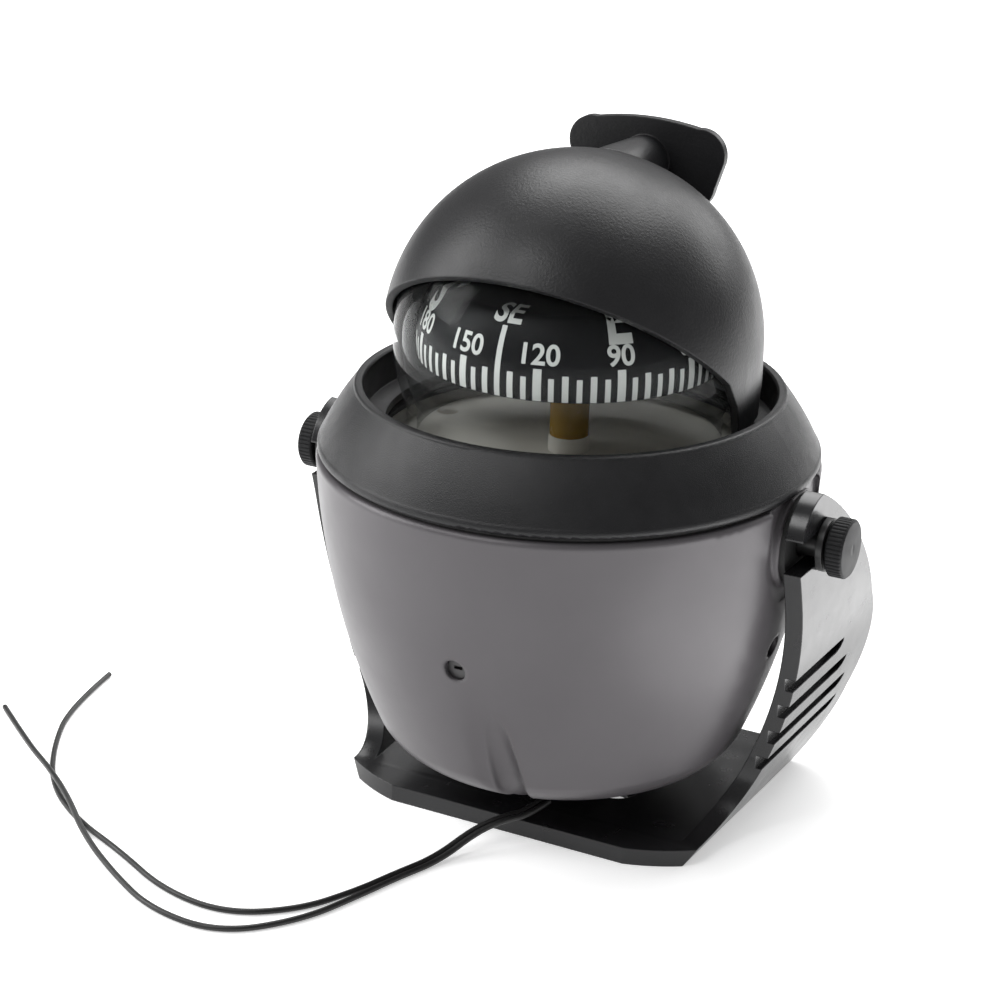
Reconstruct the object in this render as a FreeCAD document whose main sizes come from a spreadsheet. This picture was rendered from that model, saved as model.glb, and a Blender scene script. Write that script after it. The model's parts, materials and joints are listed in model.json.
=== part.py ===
import FreeCAD, Part
import math
import os
import Sketcher

V = FreeCAD.Vector

# Binnacle compass, +Z up, millimetres.
# The origin is on the underside of the bracket, straight below the tilt axis.
# +X points to the right knob and -Y to the side that the card is read from.

doc = FreeCAD.newDocument("BinnacleCompass")
dims = doc.addObject("Spreadsheet::Sheet", "dims")

SIZES = {
    # bracket
    "tray_front": 20.7,
    "tray_rear": 27.5,
    "tray_floor": 3.0,
    "arm_out": 44.9,
    "arm_thick": 3.0,
    "arm_bend_radius": 86.0,
    "arm_straight_from": 47.0,
    "arm_top": 66.0,
    "rear_splay": 2.4,
    "ear_radius": 9.0,
    "slot_width": 5.8,
    "groove_pitch": 5.2,
    "groove_first": 30.8,
    "groove_high": 2.3,
    "groove_deep": 1.5,
    "mount_hole_radius": 2.2,
    # housing
    "tilt_height": 55.1,
    "bowl_top": 62.8,
    "bowl_radius": 42.3,
    "bowl_bottom_radius": 51.5,
    "bowl_wall": 2.2,
    "boss_radius": 8.3,
    "bezel_bottom": 63.4,
    "bezel_radius": 42.0,
    "bezel_rim_radius": 35.9,
    "bezel_rim": 74.6,
    "bezel_opening": 34.2,
    "lip_opening": 30.6,
    # globe, hood and card
    "globe_centre": 82.0,
    "globe_radius": 29.4,
    "globe_wall": 1.5,
    "flange_radius": 33.6,
    "hood_radius": 31.2,
    "hood_wall": 1.3,
    "hood_rear": 2.4,
    "leg_bottom": 71.6,
    "card_radius": 25.3,
    "card_rim": 79.6,
    "card_top": 94.4,
    "floor_top": 62.8,
    "post_radius": 3.3,
    # screws, knobs and wires
    "screw_radius": 2.5,
    "running_gap": 0.05,
    "knob_radius": 4.9,
    "knob_end": 50.8,
    "plug_radius": 1.85,
    "wire_radius": 0.5,
}

for row, (alias, number) in enumerate(SIZES.items(), start=1):
    dims.set(f"A{row}", alias)
    dims.set(f"B{row}", str(number))
    dims.setAlias(f"B{row}", alias)
doc.recompute()


def size(alias):
    """The number in the sheet's cell."""
    return float(dims.get(alias))


# ---------------------------------------------------------------- helpers

SUBPARTS = {}


def keep(node, obj):
    """Name a finished sub-part; its label is its file's name."""
    obj.Label = node
    SUBPARTS[node] = obj
    return obj


def amount(term):
    """A coordinate is a number, or a cell and an offset from it."""
    if isinstance(term, tuple):
        sign, alias, offset = term
        return sign * size(alias) + offset
    return float(term)


def formula(term):
    sign, alias, offset = term
    lead = "" if sign > 0 else "-"
    return f"{lead}dims.{alias} + {offset} * 1"


def cell(alias, offset=0.0):
    return (1, alias, offset)


def minus(alias, offset=0.0):
    return (-1, alias, offset)


def origin_plane(body, role):
    return next(f for f in body.Origin.OriginFeatures if f.Role == role)


def origin_axis(body, role):
    return next(f for f in body.Origin.OriginFeatures if f.Role == role)


def new_sketch(body, name, role):
    sketch = body.newObject("Sketcher::SketchObject", name)
    sketch.AttachmentSupport = [(origin_plane(body, role), "")]
    sketch.MapMode = "FlatFace"
    return sketch


def fix_point(sketch, index, position, term_x, term_y):
    """Hold one end of an edge at its place, bound to the sheet where it comes from it."""
    for term, kind, axis in ((term_x, "DistanceX", -2), (term_y, "DistanceY", -1)):
        value = amount(term)
        if abs(value) < 1e-9:
            sketch.addConstraint(Sketcher.Constraint("PointOnObject", index, position, axis))
            continue
        number = sketch.addConstraint(
            Sketcher.Constraint(kind, -1, 1, index, position, value))
        if isinstance(term, tuple):
            sketch.setExpression(f"Constraints[{number}]", formula(term))


def draw(sketch, path):
    """A closed outline. A step is (x, y) for a straight edge that ends there,
    or (x, y, mid_x, mid_y) for an arc that passes through the middle point."""
    points = [V(amount(step[0]), amount(step[1]), 0) for step in path]
    for number, step in enumerate(path):
        start = points[number - 1]
        end = points[number]
        if len(step) == 4:
            middle = V(amount(step[2]), amount(step[3]), 0)
            index = sketch.addGeometry(Part.Arc(start, middle, end))
            sketch.addConstraint(Sketcher.Constraint(
                "Radius", index, sketch.Geometry[index].Radius))
        else:
            index = sketch.addGeometry(Part.LineSegment(start, end))
        last = 2 if sketch.getPoint(index, 2).distanceToPoint(end) < 1e-6 else 1
        fix_point(sketch, index, last, step[0], step[1])
        fix_point(sketch, index, 3 - last, path[number - 1][0], path[number - 1][1])
    return sketch


def turned(name, path, angle=360.0):
    """A body turned about the vertical axis; the path is (radius, height)."""
    body = doc.addObject("PartDesign::Body", name)
    sketch = draw(new_sketch(body, name + "_profile", "XZ_Plane"), path)
    revolution = body.newObject("PartDesign::Revolution", name + "_turned")
    revolution.Profile = sketch
    revolution.ReferenceAxis = (sketch, ["V_Axis"])
    revolution.Angle = angle
    doc.recompute()
    return body


def cylinder(name, radius, length, base, direction=V(0, 0, 1)):
    """A plain round piece; radius and length are numbers or bound terms."""
    obj = doc.addObject("Part::Cylinder", name)
    obj.Radius = amount(radius)
    obj.Height = amount(length)
    for prop, term in (("Radius", radius), ("Height", length)):
        if isinstance(term, tuple):
            obj.setExpression(prop, formula(term))
    obj.Placement = FreeCAD.Placement(base, FreeCAD.Rotation(V(0, 0, 1), direction))
    return obj


def box(name, low, high):
    obj = doc.addObject("Part::Box", name)
    obj.Length = high[0] - low[0]
    obj.Width = high[1] - low[1]
    obj.Height = high[2] - low[2]
    obj.Placement.Base = V(*low)
    return obj


def fused(name, *pieces, refine=True):
    obj = doc.addObject("Part::MultiFuse", name)
    obj.Shapes = list(pieces)
    obj.Refine = refine
    return obj


def cut(name, base, tool):
    obj = doc.addObject("Part::Cut", name)
    obj.Base = base
    obj.Tool = tool
    obj.Refine = True
    return obj


def common(name, first, second):
    obj = doc.addObject("Part::Common", name)
    obj.Base = first
    obj.Tool = second
    return obj


def grouped(name, pieces):
    """Separate solids of one kind, kept in one node."""
    obj = doc.addObject("Part::Compound", name)
    obj.Links = list(pieces)
    return obj


def mirrored(name, source):
    """The same piece on the other side of the YZ plane."""
    obj = doc.addObject("Part::Mirroring", name)
    obj.Source = source
    obj.Normal = V(1, 0, 0)
    return obj


def both_sides(name, source):
    return grouped(name, [source, mirrored(name + "_left", source)])


AXIS = size("tilt_height")
GLOBE = size("globe_centre")
RIGHT = V(1, 0, 0)
FRONT = V(0, -1, 0)
DOWN = V(0, 0, -1)

# ---------------------------------------------------------------- bracket
# One moulding: a flat tray whose two sides sweep up into curved arms. The section across
# the arms is lofted from front to rear, then cut to its side outline.


def arm_x(height, bend, top):
    """Half width of the bracket at a height, on a bend that is upright above the straight."""
    straight = size("arm_straight_from")
    if height >= straight:
        return top
    return top - bend + math.sqrt(bend ** 2 - (straight - height) ** 2)


BASE_SPARE = -2.0


def section_path(splay):
    """The U-shaped section across the arms, anticlockwise from the lower left corner."""
    out = size("arm_out") + splay
    inner = out - size("arm_thick")
    bend = size("arm_bend_radius")
    inner_bend = bend - size("arm_thick")
    straight = size("arm_straight_from")
    floor = size("tray_floor")
    top = size("arm_top")
    foot = arm_x(BASE_SPARE, bend, out)
    toe = arm_x(floor, inner_bend, inner)
    middle = (straight + BASE_SPARE) / 2
    inner_middle = (straight + floor) / 2
    half_out = [(foot, BASE_SPARE), (out, straight, arm_x(middle, bend, out), middle), (out, top),
                (inner, top), (inner, straight),
                (toe, floor, arm_x(inner_middle, inner_bend, inner), inner_middle)]
    other = [(-toe, floor), (-inner, straight, -arm_x(inner_middle, inner_bend, inner),
                             inner_middle),
             (-inner, top), (-out, top), (-out, straight),
             (-foot, BASE_SPARE, -arm_x(middle, bend, out), middle)]
    return half_out + other


SECTION_FRONT = -24.0
SECTION_REAR = 40.0

bracket_body = doc.addObject("PartDesign::Body", "bracket_body")
front_section = draw(new_sketch(bracket_body, "front_section", "XZ_Plane"), section_path(0.0))
front_section.AttachmentOffset = FreeCAD.Placement(V(0, 0, -SECTION_FRONT), FreeCAD.Rotation())
rear_section = draw(new_sketch(bracket_body, "rear_section", "XZ_Plane"),
                    section_path(size("rear_splay")))
rear_section.AttachmentOffset = FreeCAD.Placement(V(0, 0, -SECTION_REAR), FreeCAD.Rotation())
loft = bracket_body.newObject("PartDesign::AdditiveLoft", "bracket_loft")
loft.Profile = front_section
loft.Sections = [rear_section]
loft.Ruled = True
doc.recompute()

EAR = size("ear_radius")
SLOT = size("slot_width") / 2
# What lies outside the side outline: over the tray, in front of the arms, above and behind.
outside = [
    (-30, cell("tray_floor")),
    (-15.5, cell("tray_floor")),
    (-3.4, 16.0, -6.4, 6.6),
    (-8.4, cell("tilt_height", -SLOT), -4.2, 33.0),
    (-8.4, cell("tilt_height", 3.2)),
    (-1.0, cell("tilt_height", 8.95), -6.3, cell("tilt_height", 6.5)),
    (25.6, 37.4, 14.8, 52.6),
    (31.0, 16.0, 30.8, 27.0),
    (cell("tray_rear"), 0, 30.9, 7.0),
    (-30, 0),
    (-30, -5),
    (60, -5),
    (60, 90),
    (-30, 90),
]
outline = draw(new_sketch(bracket_body, "side_outline", "YZ_Plane"), outside)
trim = bracket_body.newObject("PartDesign::Pocket", "side_trim")
trim.Profile = outline
trim.Type = 1
trim.Midplane = True
doc.recompute()

# The tray's front edge, with a rounded corner at each side.
CORNER_X = 11.0
CORNER_Y = 5.5
EDGE_X = arm_x(size("tray_floor"), size("arm_bend_radius"), size("arm_out")) + 0.3
TRAY_FRONT = size("tray_front")
front_edge = [
    (-60, -40),
    (60, -40),
    (60, minus("tray_front", CORNER_Y)),
    (EDGE_X, minus("tray_front", CORNER_Y)),
    (EDGE_X - CORNER_X, minus("tray_front"), EDGE_X - 0.44 * CORNER_X,
     0.44 * CORNER_Y - TRAY_FRONT),
    (CORNER_X - EDGE_X, minus("tray_front")),
    (-EDGE_X, minus("tray_front", CORNER_Y), 0.44 * CORNER_X - EDGE_X,
     0.44 * CORNER_Y - TRAY_FRONT),
    (-60, minus("tray_front", CORNER_Y)),
]
front_sketch = draw(new_sketch(bracket_body, "front_edge", "XY_Plane"), front_edge)
front_trim = bracket_body.newObject("PartDesign::Pocket", "front_trim")
front_trim.Profile = front_sketch
front_trim.Type = 1
front_trim.Midplane = True
doc.recompute()

# The open slots in the ears, in line with the tilt axis.
slot_outline = [
    (-20, cell("tilt_height", -SLOT)),
    (0, cell("tilt_height", -SLOT)),
    (0, cell("tilt_height", SLOT), 0.9 * SLOT, cell("tilt_height")),
    (-20, cell("tilt_height", SLOT)),
]
slot_sketch = draw(new_sketch(bracket_body, "ear_slot", "YZ_Plane"), slot_outline)
slots = bracket_body.newObject("PartDesign::Pocket", "ear_slots")
slots.Profile = slot_sketch
slots.Type = 1
slots.Midplane = True
doc.recompute()

# Four blind grooves in each arm's outer face, open at the front edge and rounded at the rear.
GROOVE_REARS = (16.5, 21.0, 24.5, 26.0)
groove_tools = []
for number, rear in enumerate(GROOVE_REARS):
    height = size("groove_first") - number * size("groove_pitch")
    half = size("groove_high") / 2
    surface = arm_x(height, size("arm_bend_radius"), size("arm_out"))
    outline_points = [V(0, -12, height - half), V(0, rear - 2.4, height - half),
                      V(0, rear - 0.8, height - half * 0.5), V(0, rear, height + half * 0.4),
                      V(0, rear - 0.3, height + half), V(0, -12, height + half)]
    face = Part.Face(Part.makePolygon(outline_points + outline_points[:1]))
    groove = doc.addObject("Part::Feature", f"groove_{number}")
    groove.Shape = face.extrude(V(12, 0, 0))
    lean = math.degrees(math.atan2(size("rear_splay"), SECTION_REAR - SECTION_FRONT))
    shift = surface - size("groove_deep") + size("rear_splay") * 0.3
    groove.Placement = FreeCAD.Placement(V(shift, 0, 0), FreeCAD.Rotation(V(0, 0, 1), -lean))
    groove_tools += [groove, mirrored(f"groove_left_{number}", groove)]

HOLE_X = 12.0
HOLE_Y = (-2.0, 18.0)
holes = []
for x in (-HOLE_X, HOLE_X):
    for y in HOLE_Y:
        holes.append(cylinder(f"mount_hole_{len(holes)}", cell("mount_hole_radius"), 10,
                              V(x, y, -2)))
        sink = doc.addObject("Part::Cone", f"mount_sink_{len(holes)}")
        sink.Radius1 = 2.2
        sink.Radius2 = 4.4
        sink.Height = 2.4
        sink.Placement.Base = V(x, y, 0.8)
        holes.append(sink)
keep("bracket", cut("bracket_cut", bracket_body, fused("bracket_tools", *groove_tools, *holes)))

# ---------------------------------------------------------------- bowl
# A turned cup. Its underside follows a circle about the tilt axis, so it can tip over the tray.

BOTTOM = size("bowl_bottom_radius")
WALL = size("bowl_wall")
INNER_BOTTOM = BOTTOM - 5.1


def on_circle(radius, x):
    """A point of the underside: distance from the middle, and height."""
    return AXIS - math.sqrt(radius ** 2 - x ** 2)


FLAT = 12.0
bowl_path = [
    (0, on_circle(BOTTOM, FLAT)),
    (FLAT, on_circle(BOTTOM, FLAT)),
    (26.0, on_circle(BOTTOM, 26.0), 20.0, on_circle(BOTTOM, 20.0)),
    (31.9, 15.4, 29.7, 12.6),
    (cell("bowl_radius", -0.1), cell("bowl_top", -1.2), 39.75, 41.0),
    (cell("bowl_radius", -0.8), cell("bowl_top"), cell("bowl_radius", -0.3), cell("bowl_top", -0.3)),
    (cell("bowl_radius", -WALL - 0.4), cell("bowl_top")),
    (cell("bowl_radius", -WALL - 0.6), cell("bowl_top", -4)),
    (27.5, 18.0, 36.8, 40.0),
    (14.0, on_circle(INNER_BOTTOM, 14.0), 21.0, on_circle(INNER_BOTTOM, 21.0)),
    (0, on_circle(INNER_BOTTOM, 14.0)),
]
bowl_turned = turned("bowl_shell", bowl_path)

BOSS_FACE = 41.4
BOSS_ROOT = 36.0
boss = cylinder("pivot_boss", cell("boss_radius"), BOSS_FACE - BOSS_ROOT, V(BOSS_ROOT, 0, AXIS),
                RIGHT)
LUG_RADIUS = 3.05
LUG_CIRCLE = 36.8
LUG_BOTTOM = 53.0
LUG_ANGLES = (45, 135, 225, 315)


def around(circle, angle, height):
    turn = math.radians(angle)
    return V(circle * math.cos(turn), circle * math.sin(turn), height)


lugs = [cylinder(f"lug_{a}", LUG_RADIUS, size("bowl_top") - LUG_BOTTOM,
                 around(LUG_CIRCLE, a, LUG_BOTTOM)) for a in LUG_ANGLES]
SHELF_TOP = 31.2
shelf_path = [(29.5, SHELF_TOP - 2.4), (34.7, SHELF_TOP - 2.4), (35.4, SHELF_TOP),
              (31.5, SHELF_TOP)]
shelf = turned("compensator_shelf", shelf_path)
bowl_solid = fused("bowl_solid", bowl_turned, boss, mirrored("pivot_boss_left", boss), *lugs, shelf)

# A flat pocket round each boss, bores, and the groove that the wires leave by.
POCKET_FACE = 40.3
boss_stays = cylinder("boss_stays", cell("boss_radius"), BOSS_FACE - BOSS_ROOT,
                      V(BOSS_ROOT, 0, AXIS), RIGHT)
pocket = cut("boss_pocket", box("boss_pocket_box", (POCKET_FACE, -10, 45), (50, 10, 68)),
             boss_stays)
boss_trim = box("boss_trim", (BOSS_ROOT - 1, -10, size("bowl_top")), (50, 10, 70))
insert_bore = cylinder("insert_bore", 3.6, 14, V(32.4, 0, AXIS), RIGHT)
lug_bores = [cylinder(f"lug_bore_{a}", 1.45, 20, around(LUG_CIRCLE, a, 50)) for a in LUG_ANGLES]
FRONT_PLUG = 37.8
SIDE_PLUG = 35.1
plug_bores = [
    cylinder("front_plug_bore", cell("plug_radius", 0.05), 20, V(0, -28, FRONT_PLUG), FRONT),
    cylinder("side_plug_bore", cell("plug_radius", 0.05), 20, V(28, 0, SIDE_PLUG), RIGHT),
]
CHANNEL_X = 6.2
CHANNEL = 2.6
CHANNEL_KNEE = V(CHANNEL_X, -31.4, 15.0)
CHANNEL_TOP = V(CHANNEL_X, -41.0, 33.0)
rising = CHANNEL_TOP - CHANNEL_KNEE
channel_top = doc.addObject("Part::Cylinder", "channel_top")
channel_top.Radius = CHANNEL
channel_top.Height = rising.Length
channel_top.Placement = FreeCAD.Placement(CHANNEL_KNEE, FreeCAD.Rotation(V(0, 0, 1), rising))
CHANNEL_BEND = 17.2
inward = V(1, 0, 0).cross(rising).normalize() * -1
channel = doc.addObject("Part::Torus", "wire_channel")
channel.Radius1 = CHANNEL_BEND
channel.Radius2 = CHANNEL
channel.Placement = FreeCAD.Placement(CHANNEL_KNEE + inward * CHANNEL_BEND,
                                      FreeCAD.Rotation(V(0, 0, 1), RIGHT))
channel_reach = doc.addObject("Part::Feature", "channel_reach")
hub_yz = CHANNEL_KNEE + inward * CHANNEL_BEND
reach_face = Part.Face(Part.makePolygon([
    V(0, hub_yz.y, hub_yz.z), V(0, *(CHANNEL_KNEE - inward * 9)[1:]), V(0, -40, -4),
    V(0, -14, -4), V(0, hub_yz.y, hub_yz.z)]))
channel_reach.Shape = reach_face.extrude(V(14, 0, 0))
channel_cut = common("wire_channel_front", channel, channel_reach)
EXIT_ANGLE = math.radians(20.0)
exit_way = V(0, -math.sin(EXIT_ANGLE), -math.cos(EXIT_ANGLE))
centre = V(CHANNEL_X, 0, AXIS)
SLEEVE = BOTTOM - 2.6
grommet_bore = cylinder("grommet_bore", 1.8, 8, centre + exit_way * (SLEEVE - 6), exit_way)
bowl_tools = fused("bowl_tools", pocket, mirrored("boss_pocket_left", pocket), boss_trim,
                   mirrored("boss_trim_left", boss_trim), insert_bore,
                   mirrored("insert_bore_left", insert_bore), *lug_bores, *plug_bores,
                   channel_cut, channel_top, grommet_bore)
keep("bowl", cut("bowl_cut", bowl_solid, bowl_tools))

NOZZLE = 1.4
grommet = fused(
    "grommet_parts",
    cylinder("grommet_nozzle", NOZZLE, 7.0, centre + exit_way * (BOTTOM - 7.1), exit_way),
    cylinder("grommet_sleeve", 1.78, 4.4, centre + exit_way * (SLEEVE - 4.6), exit_way),
    cylinder("grommet_flange", 3.0, 1.2, centre + exit_way * (SLEEVE - 5.4), exit_way))
keep("wire_grommet", grommet)

# ---------------------------------------------------------------- bezel, gasket and seal

keep("rim_gasket", turned("rim_gasket_body", [
    (36.0, cell("bowl_top")), (cell("bowl_radius", -1.3), cell("bowl_top")),
    (cell("bowl_radius", -1.3), cell("bezel_bottom")), (36.0, cell("bezel_bottom"))]))

bezel_path = [
    (cell("bezel_opening", 0.4), cell("bezel_bottom")),
    (cell("bezel_radius", -0.7), cell("bezel_bottom")),
    (cell("bezel_radius"), cell("bezel_bottom", 0.8), cell("bezel_radius", -0.2),
     cell("bezel_bottom", 0.2)),
    (cell("bezel_radius", -0.35), cell("bezel_bottom", 1.7), cell("bezel_radius", -0.07),
     cell("bezel_bottom", 1.25)),
    (cell("bezel_rim_radius", 0.0), cell("bezel_rim", -0.5), 39.15, 69.6),
    (cell("bezel_rim_radius", -0.6), cell("bezel_rim"), cell("bezel_rim_radius", -0.2),
     cell("bezel_rim", -0.12)),
    (cell("bezel_opening", 0.3), cell("bezel_rim")),
    (cell("bezel_opening"), cell("bezel_rim", -0.4)),
    (cell("bezel_opening"), 68.6),
    (cell("lip_opening"), 68.2),
    (cell("lip_opening"), 67.0),
    (cell("bezel_opening"), 67.0),
]
bezel_turned = turned("bezel_body", bezel_path)
bezel_bores = [cylinder(f"bezel_bore_{a}", 1.2, 5.0, around(LUG_CIRCLE, a, 63.0))
               for a in LUG_ANGLES]
keep("bezel_ring", cut("bezel_cut", bezel_turned, fused("bezel_bores", *bezel_bores)))

keep("dome_seal", turned("dome_seal_body", [
    (31.6, 64.2), (33.6, 64.2), (33.6, 65.0), (31.6, 65.0)]))

# ---------------------------------------------------------------- globe
# A clear globe, open below, with a flange that the bezel's lip holds down.

R_OUT = size("globe_radius")
R_IN = R_OUT - size("globe_wall")
NECK = 70.6


def sphere_r(radius, height):
    return math.sqrt(radius ** 2 - (height - GLOBE) ** 2)


globe_path = [
    (sphere_r(R_IN, NECK), 65.0),
    (cell("flange_radius"), 65.0),
    (cell("flange_radius"), 67.0),
    (sphere_r(R_OUT, NECK) + 1.2, 67.0),
    (sphere_r(R_OUT, NECK), NECK, sphere_r(R_OUT, NECK) - 0.2, 68.6),
    (R_OUT, GLOBE, sphere_r(R_OUT, 75.6), 75.6),
    (0, GLOBE + R_OUT, R_OUT * math.sqrt(0.5), GLOBE + R_OUT * math.sqrt(0.5)),
    (0, GLOBE + R_IN),
    (R_IN, GLOBE, R_IN * math.sqrt(0.5), GLOBE + R_IN * math.sqrt(0.5)),
    (sphere_r(R_IN, NECK), NECK, sphere_r(R_IN, 75.6), 75.6),
]
globe_turned = turned("globe_body", globe_path)
HOOD_PIN = 1.5
PIN_ROOT = R_OUT - 0.7
pin_seat = cylinder("hood_pin_seat", HOOD_PIN, 4, V(PIN_ROOT, 0, GLOBE), RIGHT)
keep("dome", cut("dome_cut", globe_turned,
                 fused("pin_seats", pin_seat, mirrored("hood_pin_seat_left", pin_seat))))
hood_pin = cylinder("hood_pin", HOOD_PIN, 1.9, V(PIN_ROOT, 0, GLOBE), RIGHT)
keep("hood_pins", both_sides("hood_pin_pair", hood_pin))

# ---------------------------------------------------------------- hood
# A round shell, a little fuller behind than in front, with a leg down each side.

HOOD = size("hood_radius")
HOOD_IN = HOOD - size("hood_wall")


def hood_form(name, radius):
    """A dome, round in front of the swing axis and drawn out behind it, on an upright wall."""
    stretch = FreeCAD.Matrix()
    stretch.scale(1.0, (radius + size("hood_rear")) / radius, 1.0)
    front_half = Part.makeSphere(radius, V(0, 0, 0), FRONT, 0, 90, 360)
    rear_half = Part.makeSphere(radius, V(0, 0, 0), V(0, 1, 0), 0, 90, 360)
    front_wall = Part.makeCylinder(radius, WALL_DEPTH, V(0, 0, -WALL_DEPTH), V(0, 0, 1), 180)
    rear_wall = front_wall.copy()
    front_wall.rotate(V(0, 0, 0), V(0, 0, 1), 180)
    form = doc.addObject("Part::Feature", name)
    form.Shape = front_half.multiFuse([rear_half.transformGeometry(stretch), front_wall,
                                       rear_wall.transformGeometry(stretch)])
    form.Placement.Base = V(0, 0, GLOBE)
    return form


WALL_DEPTH = 14.0
LEG_BOTTOM = size("leg_bottom")
hood_shell = cut("hood_shell", hood_form("hood_outer", HOOD), hood_form("hood_inner", HOOD_IN))
# The hood ends at a slanting front edge, a leg each side of the globe, and a level rear edge.
EDGE_SLOPE = 0.845
REAR_EDGE = 75.4
window = [V(-50, -60, 81.0 + 54.3 * EDGE_SLOPE), V(-50, -5.7, 81.0), V(-50, -2.9, 76.4),
          V(-50, -2.0, LEG_BOTTOM), V(-50, 8.2, LEG_BOTTOM), V(-50, 10.0, REAR_EDGE),
          V(-50, 60, REAR_EDGE), V(-50, 60, 20), V(-50, -60, 20)]
window_cut = doc.addObject("Part::Feature", "hood_window")
window_cut.Shape = Part.Face(Part.makePolygon(window + window[:1])).extrude(V(100, 0, 0))
hood_cap = cut("hood_cap", hood_shell, window_cut)
pin_hole = cylinder("hood_pin_hole", HOOD_PIN + size("running_gap"), 1.0,
                    V(HOOD_IN - 0.2, 0, GLOBE), RIGHT)
hood_tools = fused("hood_tools", pin_hole, mirrored("hood_pin_hole_left", pin_hole))
keep("hood", cut("hood_cut", hood_cap, hood_tools))

# The finger tab: a rounded plate on a tapered neck behind the crown.
TAB_FACE = 26.6
TAB_CENTRE = V(0, TAB_FACE, 106.4)
NECK_START = 9.0
neck = doc.addObject("Part::Cone", "tab_neck")
neck.Radius1 = 5.4
neck.Radius2 = 4.4
neck.Height = TAB_FACE + 0.2 - NECK_START
neck.Placement = FreeCAD.Placement(V(0, NECK_START, TAB_CENTRE.z),
                                   FreeCAD.Rotation(V(0, 0, 1), V(0, 1, 0)))
TAB_HALF = 14.4
TAB_LOW = -8.0
TAB_HIGH = 7.4
tab_points = [
    V(-7.5, 0, TAB_LOW), V(7.5, 0, TAB_LOW),
    V(TAB_HALF - 1.6, 0, -3.6), V(TAB_HALF - 0.1, 0, 1.0),
    V(TAB_HALF - 5.0, 0, TAB_HIGH - 0.9), V(5.0 - TAB_HALF, 0, TAB_HIGH - 0.9),
    V(0.1 - TAB_HALF, 0, 1.0), V(1.6 - TAB_HALF, 0, -3.6),
]
corner_low = V(TAB_HALF - 3.4, 0, TAB_LOW + 1.3)
corner_high = V(TAB_HALF - 1.1, 0, TAB_HIGH - 2.3)
tab_edges = [
    Part.LineSegment(tab_points[0], tab_points[1]),
    Part.Arc(tab_points[1], corner_low, tab_points[2]),
    Part.LineSegment(tab_points[2], tab_points[3]),
    Part.Arc(tab_points[3], corner_high, tab_points[4]),
    Part.Arc(tab_points[4], V(0, 0, TAB_HIGH), tab_points[5]),
    Part.Arc(tab_points[5], V(-corner_high.x, 0, corner_high.z), tab_points[6]),
    Part.LineSegment(tab_points[6], tab_points[7]),
    Part.Arc(tab_points[7], V(-corner_low.x, 0, corner_low.z), tab_points[0]),
]
tab_plate = doc.addObject("Part::Feature", "tab_plate")
tab_plate.Shape = Part.Face(Part.Wire([edge.toShape() for edge in tab_edges])).extrude(V(0, 1.5, 0))
tab_plate.Placement.Base = TAB_CENTRE
keep("hood_tab", cut("tab_cut", fused("tab_parts", neck, tab_plate), hood_form("tab_trim", HOOD)))

# ---------------------------------------------------------------- card and its pivot



def crown(edge, low, high):
    """Half way along a shallow ball-shaped arc from the axis out to an edge."""
    rise = high - low
    radius = (edge ** 2 + rise ** 2) / (2 * rise)
    return edge / 2, high - radius + math.sqrt(radius ** 2 - edge ** 2 / 4)


CARD_TOP = size("card_top")
SHELL = 0.8
BEND_R = 21.6
BEND_Z = 92.2
card_path = [
    (cell("card_radius"), cell("card_rim")),
    (BEND_R, BEND_Z, 24.9, 86.4),
    (0, cell("card_top"), *crown(BEND_R, BEND_Z, CARD_TOP)),
    (0, cell("card_top", -SHELL)),
    (BEND_R - 0.6, BEND_Z - SHELL, *crown(BEND_R - 0.6, BEND_Z - SHELL, CARD_TOP - SHELL)),
    (cell("card_radius", -SHELL), cell("card_rim"), 24.1, 86.0),
]
keep("compass_card", turned("card_body", card_path))

HUB_BOTTOM = 84.0
keep("card_frame", turned("card_frame_body", [
    (0, HUB_BOTTOM), (3.0, HUB_BOTTOM), (3.0, 85.2), (20.6, 85.2), (20.6, 86.0), (3.0, 86.0),
    (3.0, 93.3), (0, 93.3)]))
keep("jewel_cup", turned("jewel_body", [
    (0, 83.6), (0.5, 83.3), (1.3, 83.3), (1.3, HUB_BOTTOM), (0, HUB_BOTTOM)]))
keep("card_magnets", grouped("magnet_pair", [
    box("magnet_right", (5.0, -11.0, 82.9), (7.4, 11.0, 85.2)),
    box("magnet_left", (-7.4, -11.0, 82.9), (-5.0, 11.0, 85.2))]))

# ---------------------------------------------------------------- floor, post and diaphragm

POST_FOOT = 65.5
POST_TOP = 75.5
DIAPHRAGM = 20.0
floor_path = [
    (1.25, 61.2), (32.6, 61.2), (32.6, 60.2), (33.6, 60.2), (33.6, 64.2), (31.4, 64.2),
    (30.4, cell("floor_top")), (1.25, cell("floor_top"))]
floor_turned = turned("floor_body", floor_path)
LAMP_Y = 26.0
FILL = V(-26.5, 6.0, 0)
keep("light_floor", cut("floor_cut", floor_turned, fused(
    "floor_bores",
    cylinder("lamp_bore", 2.6, 6, V(0, LAMP_Y, 59)),
    cylinder("fill_bore", 1.9, 6, V(FILL.x, FILL.y, 59)))))
keep("fill_plug", fused("fill_plug_parts",
                        cylinder("fill_plug_shank", 1.88, 2.2, V(FILL.x, FILL.y, 60.6)),
                        cylinder("fill_plug_head", 2.8, 1.2, V(FILL.x, FILL.y, 60.0))))
keep("post_collar", turned("collar_body", [
    (1.25, cell("floor_top")), (3.5, cell("floor_top")), (3.4, POST_FOOT), (1.25, POST_FOOT)]))
keep("pivot_post", turned("post_body", [
    (1.25, POST_FOOT), (cell("post_radius"), POST_FOOT), (cell("post_radius"), POST_TOP - 0.6),
    (2.5, POST_TOP), (1.25, POST_TOP)]))
keep("pivot_pin", turned("pin_body", [
    (0, 59.6), (1.8, 59.6), (1.8, 61.2), (1.25, 61.2), (1.25, 77.0), (0.55, 78.2), (0.55, 81.6),
    (0.1, 82.95), (0, 82.95)]))
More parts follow.
